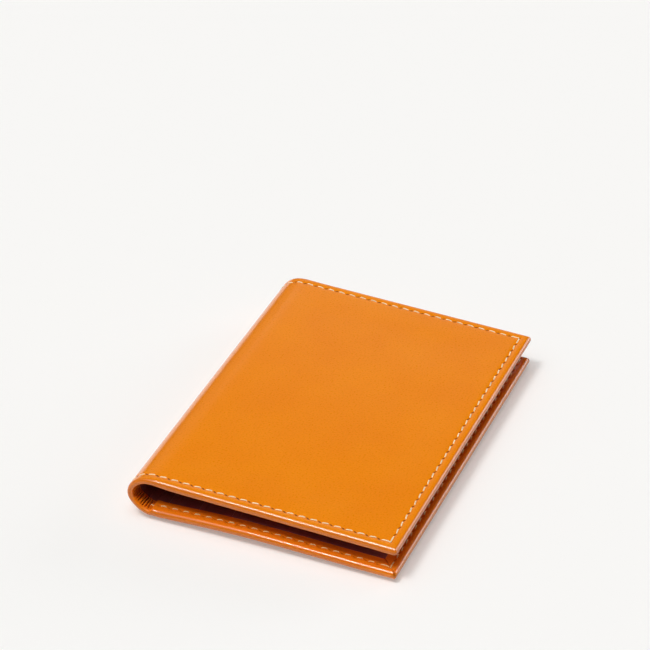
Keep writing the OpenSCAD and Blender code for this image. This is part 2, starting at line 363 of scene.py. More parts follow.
def dents(edge, sizes, q, across, profile, channel, turn):
    """How far seam, needle holes, gathers and mitres draw the leather in, and the painted shade in the mitre
    slits and the spine's gathers.
    """
    d, w, nd, nw = profile
    along = (q % 1 - 0.5) * PITCH
    ca, sa = math.cos(SLOT_TURN), math.sin(SLOT_TURN)
    sa = -sa if "back" in edge.kind else sa
    slot = bell(along * ca + across * sa, SLOT_L) * bell(across * ca - along * sa, SLOT_W)
    outer = (nw < -0.99) & (w < 0.01 * MM)
    hem = nw > 0.99
    rim = abs(nd) > 0
    sewn = ramp(edge.base[:, None], 0, STEP_S) if edge.crosses_spine else 1
    depth = outer * (channel * bell(across, CHANNEL_W) + SLOT_DEPTH * slot)
    depth += hem * sewn * (HEM_CHANNEL * bell(across, CHANNEL_W) + HEM_SLOT_DEPTH * slot)
    run = q * PITCH
    roll = sway(run / ROLL_RUN, turn) * ramp(d, 2.6 * MM, 1.2 * MM)
    depth += ROLL * roll * (hem | (rim & (w > sizes.edge_t / 4)))
    depth += RIPPLE * hem * sway(run / RIPPLE_RUN, turn + 1) * ramp(d, 2.2 * MM, 4 * MM)
    mitre = bell(edge.from_mitre(d), MITRE_W)
    slit = mitre * ramp(w, 0.35 * sizes.edge_t, 0.75 * sizes.edge_t) * (hem | rim)
    depth += MITRE_DEPTH * (1 - 0.5 * hem) * slit
    # Painted shade along the mitre slits, lighter on the hem.
    shade = slit * (1 - 0.6 * hem)
    if edge.kind == "open":
        depth -= MITRE_RISE * hem * np.exp(-edge.from_mitre(d) / MITRE_RISE_W) * (1 - mitre)
    if edge.crosses_spine:
        s = edge.base[:, None]
        wander = 0.3 * sway(s / (1.3 * MM), turn) + 0.14 * sway(s / (2 * MM) + d / MM, turn + 2)
        gather = (0.5 + 0.5 * np.cos(2 * math.pi * (s / GATHER_RUN + wander))) ** GATHER_SHARP
        bent = ramp(s, STEP_S, STEP_S - GATHER_FADE)
        turned = hem | ((nd < 0) & (nw > 0))
        fan = turned * ramp(d, 0.35 * MM, 1.6 * MM) * bent
        depth += GATHER_DEPTH * fan * gather
        depth -= GATHER_RISE * hem * ramp(d, 0.9 * MM, 2.4 * MM) * bent
        # Painted shade in the gathers' folds, deepening towards the hem's inner part.
        shade += fan * (0.6 * gather + 0.5 * ramp(d, 1.0 * MM, 3.6 * MM))
    return depth, np.clip(shade, 0, 1)


# The seam map counts stitches from the fold's tangent line, and from this number on the hem.
HEM_MARK = 100
FAR_FROM_SEAM = 20


class Sheet:
    """Collects points, faces and the sheet and seam maps of the outer leather."""

    def __init__(self):
        self.points = []
        self.count = 0
        self.faces = []
        self.maps = []
        self.part = []
        self.shade = []

    def add(self, points, shade):
        """Adds points with the painted shade of their creases, and gives their numbers."""
        shape = points.shape[:-1]
        numbers = self.count + np.arange(math.prod(shape)).reshape(shape)
        self.points.append(points.reshape(-1, 3))
        self.shade.append(np.broadcast_to(shade, shape).ravel())
        self.count += numbers.size
        return numbers

    def face(self, side, part, numbers, sheet=None, seam=None):
        """Adds a face with its two maps, turned over on the front cover."""
        count = len(numbers)
        sheet = sheet or [(0, 0)] * count
        seam = seam or [(0, FAR_FROM_SEAM)] * count
        order = range(count - 1, -1, -1) if side == "front" else range(count)
        self.faces.append([numbers[i] for i in order])
        self.maps.append([(*sheet[i], *seam[i]) for i in order])
        self.part.append(part)


def part_of(side, s):
    """Number of the piece that a place on the leather belongs to, counted round from the back cover."""
    arc = 0 if s > 0 else min(int(-s / PITCH) + 1, SIDE_BENDS)
    return arc if side == "back" else 2 * SIDE_BENDS + 1 - arc


def on_sheet(side, s, v):
    """Place on the whole unfolded sheet, in mm from the spine's middle."""
    return (s + SPINE_S) / MM * (1 if side == "back" else -1), v / MM


def wrap_cover(sheet, side, sizes):
    """Adds one cover's leather, with its half of the spine, to the sheet."""
    numbers = {}
    spots = {}
    for count, edge in enumerate(make_edges(side, sizes)):
        profile = edge_profile(sizes, edge.thick)
        d, w, nd, nw = profile
        s, v = edge.spot(d)
        q = edge.stitch(s, v)
        across = d - seam_inset(side, sizes, s)
        turn = 2.0 * count + (3 if side == "front" else 0)
        depth, shade = dents(edge, sizes, q, across, profile, CHANNEL[side], turn)
        steps = [np.diff(x, axis=1, prepend=x[:, :1]) for x in (d, w)]
        u, flat_v = on_sheet(side, *edge.spot(FLAT_IN - np.cumsum(np.hypot(*steps), 1)))
        s, v = edge.spot(d - depth * nd)
        index = sheet.add(place(side, s, v, w - depth * nw), shade)
        numbers[edge.kind] = index
        spots[edge.kind] = (s[:, 0], v[:, 0])
        across = across / MM
        q = q + np.where(nw > 0.5, HEM_MARK, 0)
        base = edge.base if edge.crosses_spine else np.ones_like(edge.base)
        across = np.where((nw > 0.5) & (base[:, None] < STEP_S), FAR_FROM_SEAM, across)
        if "back" in edge.kind:
            index, u, flat_v, q, across, base = [x[::-1] for x in (index, u, flat_v, q, across, base)]
        rows, cols = d.shape
        for i in range(rows - 1):
            part = part_of(side, (base[i] + base[i + 1]) / 2)
            for j in range(cols - 1):
                corners = [(i, j), (i + 1, j), (i + 1, j + 1), (i, j + 1)]
                sheet.face(side, part, [index[c] for c in corners], [(u[c], flat_v[c]) for c in corners],
                           [(q[c], across[c]) for c in corners])
    fill_cover(sheet, side, numbers, spots)


SWELL = 0.03 * MM


def fill_cover(sheet, side, numbers, spots):
    """Closes the leather between its edges, on the outer face with every second station and on the inner
    face with strips from edge to edge."""
    front_s = spots["front"][0]
    open_v = spots["open"][1]
    columns, rows = [[*range(0, len(x) - 1, 2), len(x) - 1] for x in (front_s, open_v)]
    s, v = np.meshgrid(front_s[columns[:-1]], open_v[rows[1:-1]], indexing="ij")
    swell = sway(s / (11 * MM), 1.0) * sway(v / (13 * MM), 2.0)
    inside = ramp(s, 2 * MM, 9 * MM) * ramp(COVER_L - s, 6 * MM, 14 * MM)
    inside = inside * ramp(HALF_H - abs(v), 6 * MM, 14 * MM)
    grid = np.zeros((len(front_s), len(open_v)), int)
    grid[np.ix_(columns[:-1], rows[1:-1])] = sheet.add(place(side, s, v, SWELL * (1 + swell) * inside), 0.0)
    grid[-1] = numbers["open"][:, 0]
    grid[:, 0] = numbers["front"][:, 0]
    grid[:, -1] = numbers["back"][:, 0]
    for i, next_i in zip(columns, columns[1:]):
        part = part_of(side, (front_s[i] + front_s[next_i]) / 2)
        for j, next_j in zip(rows, rows[1:]):
            loop = [(i, j), (i, next_j)]
            if next_j == rows[-1]:
                loop += [(k, next_j) for k in range(i + 1, next_i)]
            loop.append((next_i, next_j))
            if next_i == columns[-1]:
                loop += [(next_i, k) for k in range(next_j - 1, j, -1)]
            loop.append((next_i, j))
            if j == 0:
                loop += [(k, j) for k in range(next_i - 1, i, -1)]
            sheet.face(side, part, [grid[spot] for spot in loop],
                       [on_sheet(side, front_s[a], open_v[b]) for a, b in loop])
    front, opening, back = [numbers[kind][:, -1] for kind in ("front", "open", "back")]
    last = len(front_s) - 2
    for k in range(last + 1):
        loop = [front[k], front[k + 1], *(opening[1:-1] if k == last else []), back[k + 1], back[k]]
        sheet.face(side, part_of(side, (front_s[k] + front_s[k + 1]) / 2), loop)


MERGE = 0.0015 * MM
DEGENERATE = 0.0005 * MM
SHARP_ANGLE = math.radians(50)


def drop_loose(bm):
    """Deletes vertices that no face uses."""
    loose = [vertex for vertex in bm.verts if not vertex.link_faces]
    bmesh.ops.delete(bm, geom=loose, context="VERTS")


def cut_pieces(sheet, names, material):
    """Makes the leather one smooth sheet, then cuts it into pieces that keep the sheet's normals."""
    mesh = bpy.data.meshes.new("leather_sheet")
    mesh.from_pydata(np.concatenate(sheet.points), [], sheet.faces)
    both = np.array([m for face in sheet.maps for m in face], np.float32)
    for name, part in (("sheet", both[:, :2]), ("seam", both[:, 2:])):
        layer = mesh.uv_layers.new(name=name)
        layer.uv.foreach_set("vector", np.ascontiguousarray(part).ravel())
    # Painted shade of the gathers and the mitre slits, kept on the points for the leather's colour.
    shade = np.concatenate(sheet.shade).astype(np.float32)
    mesh.attributes.new("crease", "FLOAT", "POINT").data.foreach_set("value", shade)
    mesh.attributes.new("part", "INT", "FACE").data.foreach_set("value", np.array(sheet.part, np.int32))
    bm = bmesh.new()
    bm.from_mesh(mesh)
    bmesh.ops.remove_doubles(bm, verts=bm.verts, dist=MERGE)
    bmesh.ops.dissolve_degenerate(bm, edges=bm.edges, dist=DEGENERATE)
    drop_loose(bm)
    for face in bm.faces:
        face.smooth = True
    for edge in bm.edges:
        edge.smooth = len(edge.link_faces) == 2 and edge.calc_face_angle(0) < SHARP_ANGLE
    bm.to_mesh(mesh)
    bm.free()
    kept = np.zeros(len(mesh.loops) * 3, np.float32)
    mesh.corner_normals.foreach_get("vector", kept)
    mesh.attributes.new("kept_normal", "FLOAT_VECTOR", "CORNER").data.foreach_set("vector", kept)
    pieces = [cut_piece(mesh, number, name, material) for number, name in enumerate(names)]
    bpy.data.meshes.remove(mesh)
    return pieces


def cut_piece(mesh, number, name, material):
    """One piece of the sheet as an object of its own, closed where it was cut."""
    bm = bmesh.new()
    bm.from_mesh(mesh)
    layer = bm.faces.layers.int["part"]
    others = [face for face in bm.faces if face[layer] != number]
    bmesh.ops.delete(bm, geom=others, context="FACES")
    border = [edge for edge in bm.edges if edge.is_boundary]
    closed = bmesh.ops.holes_fill(bm, edges=border, sides=0)["faces"]
    normal = bm.loops.layers.float_vector["kept_normal"]
    for face in closed:
        face.smooth = False
        face.normal_update()
        for loop in face.loops:
            loop[normal] = face.normal
    piece = bpy.data.meshes.new(name)
    bm.to_mesh(piece)
    bm.free()
    kept = np.zeros(len(piece.loops) * 3, np.float32)
    piece.attributes["kept_normal"].data.foreach_get("vector", kept)
    piece.normals_split_custom_set(kept.reshape(-1, 3).tolist())
    for extra in ("kept_normal", "part"):
        piece.attributes.remove(piece.attributes[extra])
    return show(piece, material)


def show(mesh, material):
    """Puts a mesh with its material in the scene, as an object of the same name."""
    mesh.materials.append(material)
    piece = bpy.data.objects.new(mesh.name, mesh)
    bpy.context.scene.collection.objects.link(piece)
    return piece


def bend_spine(piece):
    """Bakes a piece of the spine's placement into its points, without attaching it to any body."""
    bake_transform(piece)


def add(tree, kind, links=None, **settings):
    """Adds a shader node. Keys of links are input names or numbers. Values are sockets, constants, colours or
    nodes, where a node stands for its first output in use."""
    node = tree.nodes.new("ShaderNode" + kind)
    for key, value in settings.items():
        setattr(node, key, value)
    for key, value in (links or {}).items():
        if isinstance(value, bpy.types.Node):
            value = next(socket for socket in value.outputs if socket.enabled)
        if isinstance(value, bpy.types.NodeSocket):
            tree.links.new(value, node.inputs[key])
        else:
            node.inputs[key].default_value = (*value, 1.0) if isinstance(value, Color) else value
    return node


def new_material(name, surface, look):
    """Material whose shader is made by surface(tree, look), where look is one colour or all of them."""
    material = bpy.data.materials.new(name)
    material.use_nodes = True
    tree = material.node_tree
    tree.nodes.clear()
    add(tree, "OutputMaterial", {"Surface": surface(tree, look)})
    return material


def glazed_calf(tree, colours):
    """Vegetable-tanned calf, glazed: even and clear in colour with faint clouds, a pore grain that only
    just shows, and a hard polish that gives crisp highlights on the turned edges."""
    sheet = add(tree, "UVMap", uv_map="sheet")
    seam = add(tree, "SeparateXYZ", {0: add(tree, "UVMap", uv_map="seam")})
    along, across = seam.outputs["X"], seam.outputs["Y"]
    # Size in mm, detail, roughness and distortion of each noise.
    clouds, pores, creases = [
        add(tree, "TexNoise", {"Vector": sheet, "Scale": 1 / size, "Detail": detail, "Roughness": rough,
                               "Distortion": twist}, noise_dimensions="2D")
        for size, detail, rough, twist in ((18, 4, 0.6, 0), (0.5, 3, 0.6, 0), (2.6, 2, 0.5, 0.4))]
    # Grain 0.15 mm wide is finer than a pixel of the render, so it is drawn 0.4 mm wide.
    grain = add(tree, "TexVoronoi", {"Vector": sheet, "Scale": 1 / 0.4, "Randomness": 1.0},
                voronoi_dimensions="2D", feature="SMOOTH_F1")
    cloudy = add(tree, "MapRange", {"Value": clouds, "From Min": 0.32, "From Max": 0.68})
    base = add(tree, "Mix", {"Factor": cloudy, "A": colours.tan, "B": colours.tan_deep}, data_type="RGBA")
    # Painted shade: the turned-in leather takes the redder hem colour, for light bounced between the covers.
    on_hem = add(tree, "MapRange", {"Value": along, "From Min": HEM_MARK / 2 - 1, "From Max": HEM_MARK / 2})
    base = add(tree, "Mix", {"Factor": on_hem, "A": base, "B": colours.hem}, data_type="RGBA")
    speck, rough = [add(tree, "MapRange", {"Value": pores, "From Min": 0.3, "From Max": 0.7,
                                           "To Min": low, "To Max": high})
                    for low, high in ((0.955, 1.045), (0.26, 0.37))]
    base = add(tree, "VectorMath", {0: base, "Scale": speck}, operation="SCALE")
    # Darker towards the edge: partly burnish, partly painted shade on the rounded rim.
    edge = add(tree, "MapRange", {"Value": across, "From Min": -1.6, "From Max": -2.3, "To Max": 0.65},
               interpolation_type="SMOOTHSTEP")
    # Painted shade in each needle hole, which lies halfway between two stitches, turned against the seam, and
    # is fainter on the hem.
    for operation, number in (("FLOORED_MODULO", 1.0), ("SUBTRACT", 0.5), ("MULTIPLY", PITCH / MM)):
        along = add(tree, "Math", {0: along, 1: number}, operation=operation)
    hole = add(tree, "CombineXYZ", {"X": along, "Y": across})
    hole = add(tree, "VectorRotate", {"Vector": hole, "Angle": -SLOT_TURN}, rotation_type="Z_AXIS")
    hole = add(tree, "VectorMath", {0: hole, 1: (1 / 0.66, 1 / 0.25, 0)}, operation="MULTIPLY")
    hole = add(tree, "VectorMath", {0: hole}, operation="LENGTH")
    hole = add(tree, "MapRange", {"Value": hole, "From Min": 1.0, "From Max": 0.45},
               interpolation_type="SMOOTHSTEP")
    fainter = add(tree, "MapRange", {"Value": on_hem, "To Min": 1.0, "To Max": 0.45})
    hole = add(tree, "Math", {0: hole, 1: fainter}, operation="MULTIPLY")
    # Painted shade in the spine's gathers and the mitre slits.
    crease = add(tree, "Attribute", attribute_name="crease").outputs["Fac"]
    crease = add(tree, "Math", {0: crease, 1: 0.85}, operation="MULTIPLY")
    dark = add(tree, "Math", {0: hole, 1: crease}, operation="MAXIMUM")
    # Mixes in the burnished edge, partly painted shade on the rim, and the painted shade of needle holes,
    # gathers and mitre slits.
    for factor, over in ((edge, colours.burnish_and_rim_shade), (dark, colours.needle)):
        base = add(tree, "Mix", {"Factor": factor, "A": base, "B": over}, data_type="RGBA")
    bump = add(tree, "Bump", {"Height": creases, "Strength": 0.12, "Distance": 0.1 * MM})
    bump = add(tree, "Bump", {"Height": grain, "Strength": 0.16, "Distance": 0.08 * MM, "Normal": bump})
    bump = add(tree, "Bump", {"Height": pores, "Strength": 0.12, "Distance": 0.06 * MM, "Normal": bump})
    return add(tree, "BsdfPrincipled", {
        "Base Color": base, "Roughness": rough, "IOR": 1.31, "Coat Weight": 0.65, "Coat Roughness": 0.07,
        "Coat IOR": 1.5, "Normal": bump})


def brown_calf(tree, colours):
    """Smooth brown calf of the pockets, dyed through and lightly polished: dark, with a soft sheen, a fine
    pebbled grain and cloudy dye."""
    at = add(tree, "TexCoord").outputs["Object"]
    clouds, pores = [add(tree, "TexNoise", {"Vector": at, "Scale": 1 / (size * MM), "Detail": 3})
                     for size in (7, 1.4)]
    grain = add(tree, "TexVoronoi", {"Vector": at, "Scale": 1 / (0.5 * MM)}, feature="SMOOTH_F1")
    base = add(tree, "Mix", {"Factor": clouds, "A": colours.pocket, "B": colours.pocket_deep},
               data_type="RGBA")
    rough = add(tree, "MapRange", {"Value": pores, "To Min": 0.38, "To Max": 0.56})
    bump = add(tree, "Bump", {"Height": grain, "Strength": 0.3, "Distance": 0.1 * MM})
    bump = add(tree, "Bump", {"Height": pores, "Strength": 0.2, "Distance": 0.15 * MM, "Normal": bump})
    return add(tree, "BsdfPrincipled", {
        "Base Color": base, "Roughness": rough, "IOR": 1.46, "Coat Weight": 0.12, "Coat Roughness": 0.3,
        "Normal": bump})


def lambskin(tree, colours):
    """Lambskin lining, skived thin and left unpolished: dark, matt and slightly napped."""
    sheet = add(tree, "UVMap", uv_map="sheet")
    nap = add(tree, "TexNoise", {"Vector": sheet, "Scale": 1 / 0.6, "Detail": 4}, noise_dimensions="2D")
    base = add(tree, "Mix", {"Factor": nap, "A": colours.lining, "B": colours.pocket_deep},
               data_type="RGBA")
    rough = add(tree, "MapRange", {"Value": nap, "To Min": 0.6, "To Max": 0.8})
    bump = add(tree, "Bump", {"Height": nap, "Strength": 0.3, "Distance": 0.12 * MM})
    return add(tree, "BsdfPrincipled", {
        "Base Color": base, "Roughness": rough, "IOR": 1.45, "Sheen Weight": 0.25, "Sheen Roughness": 0.4,
        "Normal": bump})


def waxed_thread(tree, shade):
    """Waxed polyester thread, three plies laid up: cream, soft gloss, darker where wax holds dirt."""
    at = add(tree, "TexCoord").outputs["Object"]
    wax = add(tree, "TexNoise", {"Vector": at, "Scale": 1 / (0.5 * MM), "Detail": 2})
    fibre = add(tree, "TexNoise", {"Vector": at, "Scale": 1 / (0.09 * MM), "Detail": 1})
    base = add(tree, "Mix", {"Factor": wax, "A": shade, "B": 0.86 * shade}, data_type="RGBA")
    rough = add(tree, "MapRange", {"Value": wax, "To Min": 0.35, "To Max": 0.5})
    bump = add(tree, "Bump", {"Height": fibre, "Strength": 0.25, "Distance": 0.03 * MM})
    return add(tree, "BsdfPrincipled", {
        "Base Color": base, "Roughness": rough, "IOR": 1.5, "Sheen Weight": 0.2, "Normal": bump})


def painted_floor(tree, colours):
    """Pale paint, matt, that takes the wallet's shadow. A share of what the camera and reflections see of it
    is its own even paleness."""
    paint = add(tree, "BsdfPrincipled", {
        "Base Color": colours.floor, "Roughness": 0.9, "Specular IOR Level": 0.1})
    glow = add(tree, "Emission", {"Color": colours.floor, "Strength": 1.0})
    path = add(tree, "LightPath").outputs
    seen = add(tree, "Math", {0: path["Is Camera Ray"], 1: path["Is Glossy Ray"]}, operation="MAXIMUM")
    share = add(tree, "Math", {0: seen, 1: FLOOR_GLOW}, operation="MULTIPLY")
    return add(tree, "MixShader", {0: share, 1: paint, 2: glow})


CAMERA_AT = (226.2 * MM, -553.7 * MM, 439.5 * MM)
CAMERA_ELEVATION = math.radians(34.08)
CAMERA_AZIMUTH = math.radians(22.5)
FOCAL_PX = 2843.3
FRAME_PX = 650
FLOOR_HALF = 8.0
FLOOR_DROP = 0.95 * MM
FLOOR_GLOW = 0.3
KEY_FROM = (-0.22, -0.36, 0.91)
KEY_SIZE = math.radians(12.5)
KEY_STRENGTH = 1.22
WALL_LIGHT = 0.012
# Direction, half-angles in degrees of the full and of the fading part, and strength of each soft light.
STUDIO_LIGHTS = (
    ((0.0, -0.12, 1.0), 8, 30, 2.5),
    ((-0.18, -0.48, 0.86), 10, 29, 1.7),
    ((-0.75, -0.1, 0.6), 10, 40, 0.35),
    ((0.58, 0.77, 0.2), 5, 18, 5.0),
    ((-0.28, 0.83, 0.44), 3, 12.5, 0.56),
    ((-0.51, 0.74, 0.43), 4, 16, 0.2),
)


class WALLET_OT_stage(Operator):
    """Camera, pale floor, key lamp and soft lights"""

    bl_idname = "wallet.stage"
    bl_label = "Stage"

    def execute(self, context):
        scene = context.scene
        scene.view_settings.view_transform = "Standard"
        camera = bpy.data.cameras.new("camera")
        camera.lens = FOCAL_PX * camera.sensor_width / FRAME_PX
        scene.camera = bpy.data.objects.new("camera", camera)
        scene.camera.location = CAMERA_AT
        scene.camera.rotation_euler = (math.pi / 2 - CAMERA_ELEVATION, 0, CAMERA_AZIMUTH)
        scene.collection.objects.link(scene.camera)
        key = bpy.data.lights.new("key", "SUN")
        key.energy = KEY_STRENGTH
        key.angle = KEY_SIZE
        lamp = bpy.data.objects.new("key", key)
        lamp.rotation_euler = Vector(KEY_FROM).to_track_quat("Z", "Y").to_euler()
        scene.collection.objects.link(lamp)
        self.surroundings(scene)
        corners = [(x * FLOOR_HALF, y * FLOOR_HALF, -FLOOR_DROP)
                   for x, y in ((-1, -1), (1, -1), (1, 1), (-1, 1))]
        floor = bpy.data.meshes.new("floor")
        floor.from_pydata(corners, [], [(0, 1, 2, 3)])
        show(floor, new_material("painted_floor", painted_floor, scene.wallet_colours))
        return {"FINISHED"}

    def surroundings(self, scene):
        """Dim walls with soft lights: two broad ones overhead and in front, one on the left and three low
        ones behind."""
        world = bpy.data.worlds.new("studio")
        world.use_nodes = True
        tree = world.node_tree
        tree.nodes.clear()
        at = add(tree, "TexCoord").outputs["Generated"]
        level = WALL_LIGHT
        for toward, narrow, wide, strength in STUDIO_LIGHTS:
            way = add(tree, "VectorMath", {0: at, 1: Vector(toward).normalized()}, operation="DOT_PRODUCT")
            patch = add(tree, "MapRange", {
                "Value": way, "From Min": math.cos(math.radians(wide)),
                "From Max": math.cos(math.radians(narrow)), "To Max": strength},
                interpolation_type="SMOOTHSTEP")
            level = add(tree, "Math", {0: level, 1: patch}, operation="ADD")
        light = add(tree, "Background", {"Color": (1, 1, 1, 1), "Strength": level})
        add(tree, "OutputWorld", {"Surface": light})
        scene.world = world


class WALLET_OT_outer_leather(Operator):
    """Outer leather of both covers and the spine, with its turned edges"""

    bl_idname = "wallet.outer_leather"
    bl_label = "Outer leather"

    def execute(self, context):
        material = new_material("glazed_calf", glazed_calf, context.scene.wallet_colours)
        sheet = Sheet()
        for side in SIDES:
            wrap_cover(sheet, side, context.scene.wallet_sizes)
        names = ["back_leather"] + [f"back_spine_skin_{k}" for k in range(1, SIDE_BENDS + 1)]
        names += [f"front_spine_skin_{k}" for k in range(SIDE_BENDS, 0, -1)] + ["front_leather"]
        stands_for = {1: ["spine_edge"],
                      SIDE_BENDS: [f"spine_leather_{SIDE_BENDS - 1}", f"spine_leather_{SIDE_BENDS}"]}
        for piece in cut_pieces(sheet, names, material):
            side = piece.name.split("_")[0]
            if piece.name.endswith("_leather"):
                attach(piece, f"{side}_half")
                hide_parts(f"{side}_cover", f"{side}_turned_edge", f"{side}_board")
                continue
            number = int(piece.name[-1])
            bend_spine(piece)
            for node in stands_for.get(number, [f"spine_leather_{number - 1}"]):
                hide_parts(f"{side}_{node}")
        return {"FINISHED"}


def closed_piece(name, points, faces, material, flat=None):
    """Closed mesh as an object, with smooth quads. flat holds each point's place on its map, if any."""
    mesh = bpy.data.meshes.new(name)
    mesh.from_pydata(np.concatenate(points), [], faces)
    if flat is not None:
        numbers = np.zeros(len(mesh.loops), np.int32)
        mesh.loops.foreach_get("vertex_index", numbers)
        layer = mesh.uv_layers.new(name="sheet")
        layer.uv.foreach_set("vector", flat[numbers % len(flat)].astype(np.float32).ravel())
    bm = bmesh.new()
    bm.from_mesh(mesh)
    drop_loose(bm)
    bmesh.ops.recalc_face_normals(bm, faces=bm.faces)
    for face in bm.faces:
        face.smooth = len(face.verts) == 4
    bm.to_mesh(mesh)
    bm.free()
    return show(mesh, material)


def layer_piece(name, side, s, v, top, thick, material, maps=False):
    """Thin leather layer as a closed sheet: top is its inner face's height at each (s, v), and its border is
    rounded."""
    s, v = np.meshgrid(s, v, indexing="ij")
    high = top(s, v)
    rings = []
    for drop, grow in ((0, 0), (thick / 2, thick / 2), (thick, 0)):
        edge_s = s.copy()
        edge_v = v.copy()
        edge_s[0] -= grow
        edge_s[-1] += grow
        edge_v[:, 0] -= grow
        edge_v[:, -1] += grow
        rings.append(place(side, edge_s, edge_v, high - drop).reshape(-1, 3))
    count = s.size
    at = np.arange(count).reshape(s.shape)
    quads = np.stack([at[:-1, :-1], at[1:, :-1], at[1:, 1:], at[:-1, 1:]], -1).reshape(-1, 4).tolist()
    faces = []
    for quad in quads:
        faces.append(quad)
        faces.append([n + 2 * count for n in reversed(quad)])
    border = np.concatenate([at[:-1, 0], at[-1, :-1], at[:0:-1, -1], at[0, :0:-1]])
    for a, b in zip(border, np.roll(border, -1)):
        for ring in (0, count):
            faces.append([b + ring, a + ring, a + ring + count, b + ring + count])
    if side == "front":
        faces = [face[::-1] for face in faces]
    flat = np.stack([s.ravel(), v.ravel()], 1) / MM if maps else None
    return closed_piece(name, rings, faces, material, flat)


FINE_STEP = 0.5 * MM


def spaced(start, end, step, fine=0.0):
    """Places from start to end, closer together over the first and last fine lengths."""
    if fine <= 0:
        return np.linspace(start, end, max(2, round((end - start) / step) + 1))
    near = np.linspace(0, fine, round(fine / FINE_STEP) + 1)
    middle = np.linspace(start + fine, end - fine, round((end - start - 2 * fine) / step) + 1)
    return np.concatenate([start + near[:-1], middle, (end - near[::-1])[1:]])


LAYER_IN = 1.9 * MM
LINING_END = 9 * MM
LINING_FLAT = 1.3 * MM
LINING_SPINE = 1.1 * MM
LINING_SLOPE = 1.6 * MM
LINING_STEP = 0.4 * MM
LINING_STEP_V = 2.4 * MM
LINING_RIPPLE = 0.04 * MM
LINING_STEPS = 13
LINING_SHORT = 0.6


class WALLET_OT_lining(Operator):
    """Lining of both covers beside the fold, and of the spine"""

    bl_idname = "wallet.lining"
    bl_label = "Lining"

    def execute(self, context):
        thick = context.scene.wallet_sizes.lining_t
        material = new_material("lambskin", lambskin, context.scene.wallet_colours)
        v = spaced(LAYER_IN - HALF_H, HALF_H - LAYER_IN, LINING_STEP_V)

        def top(s, v):
            """Inner face of the lining, a little rippled in the spine."""
            ripple = LINING_RIPPLE * sway(v / (6 * MM), 0.5) * np.sin(math.pi * s / PITCH) ** 2 * (s < 0)
            return LINING_SPINE + (LINING_FLAT - LINING_SPINE) * ramp(s, 0, LINING_SLOPE) + ripple

        for side in SIDES:
            s = spaced(0, LINING_END, LINING_STEP)
            flat = layer_piece(f"{side}_lining_flat", side, s, v, top, thick, material, maps=True)
            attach(flat, f"{side}_half")
            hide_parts(f"{side}_lining")
            for k in range(1, SIDE_BENDS + 1):
                # The two middle strips end short of the spine's middle, to leave room for their rounding.
                short = LINING_SHORT * thick if k == SIDE_BENDS else 0
                s = np.linspace(short - k * PITCH, (1 - k) * PITCH, LINING_STEPS)
                piece = layer_piece(f"{side}_spine_lambskin_{k}", side, s, v, top, thick, material,
                                    maps=True)
                bend_spine(piece)
                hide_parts(f"{side}_spine_lining_{k}")
        return {"FINISHED"}


PANEL_TOP = 1.8 * MM
POCKET_IN = 4.66 * MM
LOWER_OPEN = 0.95 * MM
LOWER_NEST = 0.6
LOWER_GAP = 0.02 * MM
UPPER_OPEN = 0.85 * MM
UPPER_GAP = 0.1 * MM
# Line pressed beside each pocket's mouth, and waves of leather that isn't quite flat.
LINE_IN = 1.7 * MM
LINE_W = 0.28 * MM
LINE_DEPTH = 0.09 * MM
POCKET_WAVE = 0.05 * MM
POCKET_STEP = 1.2 * MM
MOUTH_STEP = 0.14 * MM
MOUTH_FINE = 3 * MM
END_FINE = 5 * MM
SIDE_FINE = 6 * MM


def pocket_lift(s, v, mouth, end, most):
    """How far an empty pocket stands open: most at the middle of its mouth, nothing at its sewn sides."""
    reach = np.clip((s - mouth) / (end - mouth), 0, 1)
    across = np.clip(abs(v) / (HALF_H - POCKET_IN), 0, 1)
    return most * (1 - across ** 3.2) * (1 - reach ** 2.6) * (1 - 0.35 * reach)


def pressed(s, v, mouth):
    """Depth of the line pressed beside a mouth and of the leather's waves."""
    wave = POCKET_WAVE * sway(s / (9 * MM), mouth / MM) * sway(v / (8 * MM), mouth / MM)
    return LINE_DEPTH * bell(s - mouth - LINE_IN, LINE_W) + wave


